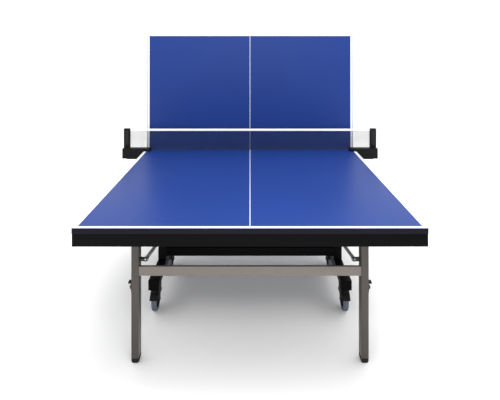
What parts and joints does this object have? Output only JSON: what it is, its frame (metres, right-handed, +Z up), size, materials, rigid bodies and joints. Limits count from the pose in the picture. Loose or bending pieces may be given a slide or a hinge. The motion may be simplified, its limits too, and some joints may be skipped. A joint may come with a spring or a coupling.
{
  "type": "ping pong table",
  "caption": "Folding ping pong table on wheeled carriages with a clamp-on net: the near side lies flat and the far side stands upright for solo practice.",
  "frame": {"origin": "on the floor, at the middle of the whole table's box", "axes": "+X across the table, +Y from the flat near half to the upright far half, +Z up"},
  "size_m": [1.83, 2.163, 1.608],
  "materials": {
    "board": "matt blue playing surface",
    "frame": "black powder coat",
    "leg": "grey-brown metallic powder coat",
    "link": "zinc-plated steel",
    "post": "black satin",
    "plastic": "moulded black",
    "tread": "blue-grey tread",
    "rubber": "black rubber",
    "net": "dark navy mesh",
    "tape": "white woven tape"
  },
  "bodies": {
    "near_carriage": {"near_side_frame_left": "frame", "near_side_frame_right": "frame", "near_middle_beam": "frame", "near_net_side_beam": "frame"},
    "near_top": {"near_tabletop": "board", "near_top_frame": "frame", "near_pivot_arm_left": "frame", "near_pivot_arm_right": "frame", "net_post_left": "post", "net_post_right": "post", "net_sheet": "net", "net_tape": "tape"},
    "near_legs": {"near_leg_left": "leg", "near_leg_right": "leg", "near_leg_crossbar": "leg"},
    "near_links": {"near_link_left": "link", "near_link_right": "link"},
    "near_foot_left": {"near_foot_left": "rubber"},
    "near_catch_left": {"near_catch_left": "plastic"},
    "near_caster_net_left": {"near_caster_net_left": "plastic"},
    "near_wheel_net_left": {"near_wheel_net_left": "tread"},
    "near_caster_end_left": {"near_caster_end_left": "plastic"},
    "near_wheel_end_left": {"near_wheel_end_left": "tread"},
    "near_foot_right": {"near_foot_right": "rubber"},
    "near_catch_right": {"near_catch_right": "plastic"},
    "near_caster_net_right": {"near_caster_net_right": "plastic"},
    "near_wheel_net_right": {"near_wheel_net_right": "tread"},
    "near_caster_end_right": {"near_caster_end_right": "plastic"},
    "near_wheel_end_right": {"near_wheel_end_right": "tread"},
    "far_carriage": {"far_side_frame_left": "frame", "far_side_frame_right": "frame", "far_middle_beam": "frame", "far_net_side_beam": "frame"},
    "far_top": {"far_tabletop": "board", "far_top_frame": "frame", "far_pivot_arm_left": "frame", "far_pivot_arm_right": "frame"},
    "far_legs": {"far_leg_left": "leg", "far_leg_right": "leg", "far_leg_crossbar": "leg"},
    "far_links": {"far_link_left": "link", "far_link_right": "link"},
    "far_foot_left": {"far_foot_left": "rubber"},
    "far_catch_left": {"far_catch_left": "plastic"},
    "far_caster_net_left": {"far_caster_net_left": "plastic"},
    "far_wheel_net_left": {"far_wheel_net_left": "tread"},
    "far_caster_end_left": {"far_caster_end_left": "plastic"},
    "far_wheel_end_left": {"far_wheel_end_left": "tread"},
    "far_foot_right": {"far_foot_right": "rubber"},
    "far_catch_right": {"far_catch_right": "plastic"},
    "far_caster_net_right": {"far_caster_net_right": "plastic"},
    "far_wheel_net_right": {"far_wheel_net_right": "tread"},
    "far_caster_end_right": {"far_caster_end_right": "plastic"},
    "far_wheel_end_right": {"far_wheel_end_right": "tread"},
    "net_screw_left": {"net_screw_left": "plastic"},
    "net_screw_right": {"net_screw_right": "plastic"}
  },
  "joints": [
    {"name": "near_top_tilt", "type": "hinge", "parent": "near_carriage", "child": "near_top", "pos_m": [0, 0.0276, 0.499], "axis": [-1, 0, 0], "range_deg": [0, 90]},
    {"name": "near_leg_fold", "type": "hinge", "parent": "near_top", "child": "near_legs", "pos_m": [0, -0.7999, 0.645], "axis": [-1, 0, 0], "range_deg": [-90, 0]},
    {"name": "near_link_swing", "type": "hinge", "parent": "near_carriage", "child": "near_links", "pos_m": [0, 0.0426, 0.339], "axis": [-1, 0, 0], "range_deg": [0, 90]},
    {"name": "screw_foot_near_left", "type": "slide", "parent": "near_legs", "child": "near_foot_left", "axis": [0, 0, -1], "range_m": [0, 0.012]},
    {"name": "side_catch_near_left", "type": "hinge", "parent": "near_legs", "child": "near_catch_left", "pos_m": [-0.5745, -0.7999, 0.357], "axis": [-1, 0, 0], "range_deg": [0, 60]},
    {"name": "swivel_near_net_left", "type": "hinge", "parent": "near_carriage", "child": "near_caster_net_left", "pos_m": [-0.545, 0.0736, 0.1645], "axis": [0, 0, 1], "continuous": true},
    {"name": "wheel_near_net_left", "type": "hinge", "parent": "near_caster_net_left", "child": "near_wheel_net_left", "pos_m": [-0.545, 0.0996, 0.0625], "axis": [1, 0, 0], "continuous": true},
    {"name": "swivel_near_end_left", "type": "hinge", "parent": "near_carriage", "child": "near_caster_end_left", "pos_m": [-0.545, -0.4114, 0.1645], "axis": [0, 0, 1], "continuous": true},
    {"name": "wheel_near_end_left", "type": "hinge", "parent": "near_caster_end_left", "child": "near_wheel_end_left", "pos_m": [-0.545, -0.3854, 0.0625], "axis": [1, 0, 0], "continuous": true},
    {"name": "screw_foot_near_right", "type": "slide", "parent": "near_legs", "child": "near_foot_right", "axis": [0, 0, -1], "range_m": [0, 0.012]},
    {"name": "side_catch_near_right", "type": "hinge", "parent": "near_legs", "child": "near_catch_right", "pos_m": [0.5745, -0.7999, 0.357], "axis": [-1, 0, 0], "range_deg": [0, 60]},
    {"name": "swivel_near_net_right", "type": "hinge", "parent": "near_carriage", "child": "near_caster_net_right", "pos_m": [0.545, 0.0736, 0.1645], "axis": [0, 0, 1], "continuous": true},
    {"name": "wheel_near_net_right", "type": "hinge", "parent": "near_caster_net_right", "child": "near_wheel_net_right", "pos_m": [0.545, 0.0996, 0.0625], "axis": [1, 0, 0], "continuous": true},
    {"name": "swivel_near_end_right", "type": "hinge", "parent": "near_carriage", "child": "near_caster_end_right", "pos_m": [0.545, -0.4114, 0.1645], "axis": [0, 0, 1], "continuous": true},
    {"name": "wheel_near_end_right", "type": "hinge", "parent": "near_caster_end_right", "child": "near_wheel_end_right", "pos_m": [0.545, -0.3854, 0.0625], "axis": [1, 0, 0], "continuous": true},
    {"name": "far_half_roll", "type": "slide", "parent": "near_carriage", "child": "far_carriage", "axis": [0, 1, 0], "range_m": [0, 0.45]},
    {"name": "far_top_tilt", "type": "hinge", "parent": "far_carriage", "child": "far_top", "pos_m": [0, 0.6016, 0.499], "axis": [1, 0, 0], "range_deg": [-90, 0]},
    {"name": "far_leg_fold", "type": "hinge", "parent": "far_top", "child": "far_legs", "pos_m": [0, 0.4556, 1.3265], "axis": [1, 0, 0], "range_deg": [0, 90]},
    {"name": "far_link_swing", "type": "hinge", "parent": "far_carriage", "child": "far_links", "pos_m": [0, 0.5866, 0.339], "axis": [1, 0, 0], "range_deg": [-90, 0]},
    {"name": "screw_foot_far_left", "type": "slide", "parent": "far_legs", "child": "far_foot_left", "axis": [0, 0, -1], "range_m": [0, 0.012]},
    {"name": "side_catch_far_left", "type": "hinge", "parent": "far_legs", "child": "far_catch_left", "pos_m": [-0.5745, 0.4556, 1.0385], "axis": [1, 0, 0], "range_deg": [0, 60]},
    {"name": "swivel_far_net_left", "type": "hinge", "parent": "far_carriage", "child": "far_caster_net_left", "pos_m": [-0.545, 0.5556, 0.1645], "axis": [0, 0, 1], "continuous": true},
    {"name": "wheel_far_net_left", "type": "hinge", "parent": "far_caster_net_left", "child": "far_wheel_net_left", "pos_m": [-0.545, 0.5296, 0.0625], "axis": [1, 0, 0], "continuous": true},
    {"name": "swivel_far_end_left", "type": "hinge", "parent": "far_carriage", "child": "far_caster_end_left", "pos_m": [-0.545, 1.0406, 0.1645], "axis": [0, 0, 1], "continuous": true},
    {"name": "wheel_far_end_left", "type": "hinge", "parent": "far_caster_end_left", "child": "far_wheel_end_left", "pos_m": [-0.545, 1.0146, 0.0625], "axis": [1, 0, 0], "continuous": true},
    {"name": "screw_foot_far_right", "type": "slide", "parent": "far_legs", "child": "far_foot_right", "axis": [0, 0, -1], "range_m": [0, 0.012]},
    {"name": "side_catch_far_right", "type": "hinge", "parent": "far_legs", "child": "far_catch_right", "pos_m": [0.5745, 0.4556, 1.0385], "axis": [1, 0, 0], "range_deg": [0, 60]},
    {"name": "swivel_far_net_right", "type": "hinge", "parent": "far_carriage", "child": "far_caster_net_right", "pos_m": [0.545, 0.5556, 0.1645], "axis": [0, 0, 1], "continuous": true},
    {"name": "wheel_far_net_right", "type": "hinge", "parent": "far_caster_net_right", "child": "far_wheel_net_right", "pos_m": [0.545, 0.5296, 0.0625], "axis": [1, 0, 0], "continuous": true},
    {"name": "swivel_far_end_right", "type": "hinge", "parent": "far_carriage", "child": "far_caster_end_right", "pos_m": [0.545, 1.0406, 0.1645], "axis": [0, 0, 1], "continuous": true},
    {"name": "wheel_far_end_right", "type": "hinge", "parent": "far_caster_end_right", "child": "far_wheel_end_right", "pos_m": [0.545, 1.0146, 0.0625], "axis": [1, 0, 0], "continuous": true},
    {"name": "net_screw_left", "type": "hinge", "parent": "near_top", "child": "net_screw_left", "pos_m": [-0.7375, 0.2576, 0.7], "axis": [0, 0, 1], "range_deg": [0, 720]},
    {"name": "net_screw_right", "type": "hinge", "parent": "near_top", "child": "net_screw_right", "pos_m": [0.7375, 0.2576, 0.7], "axis": [0, 0, 1], "range_deg": [0, 720]}
  ],
  "couplings": [
    {"joint": "near_leg_fold", "follows": "near_top_tilt", "ratio": -1},
    {"joint": "near_link_swing", "follows": "near_top_tilt", "ratio": 1},
    {"joint": "far_leg_fold", "follows": "far_top_tilt", "ratio": -1},
    {"joint": "far_link_swing", "follows": "far_top_tilt", "ratio": 1},
    {"joint": "far_half_roll", "follows": "near_top_tilt", "m_per_rad": 0.28648}
  ]
}
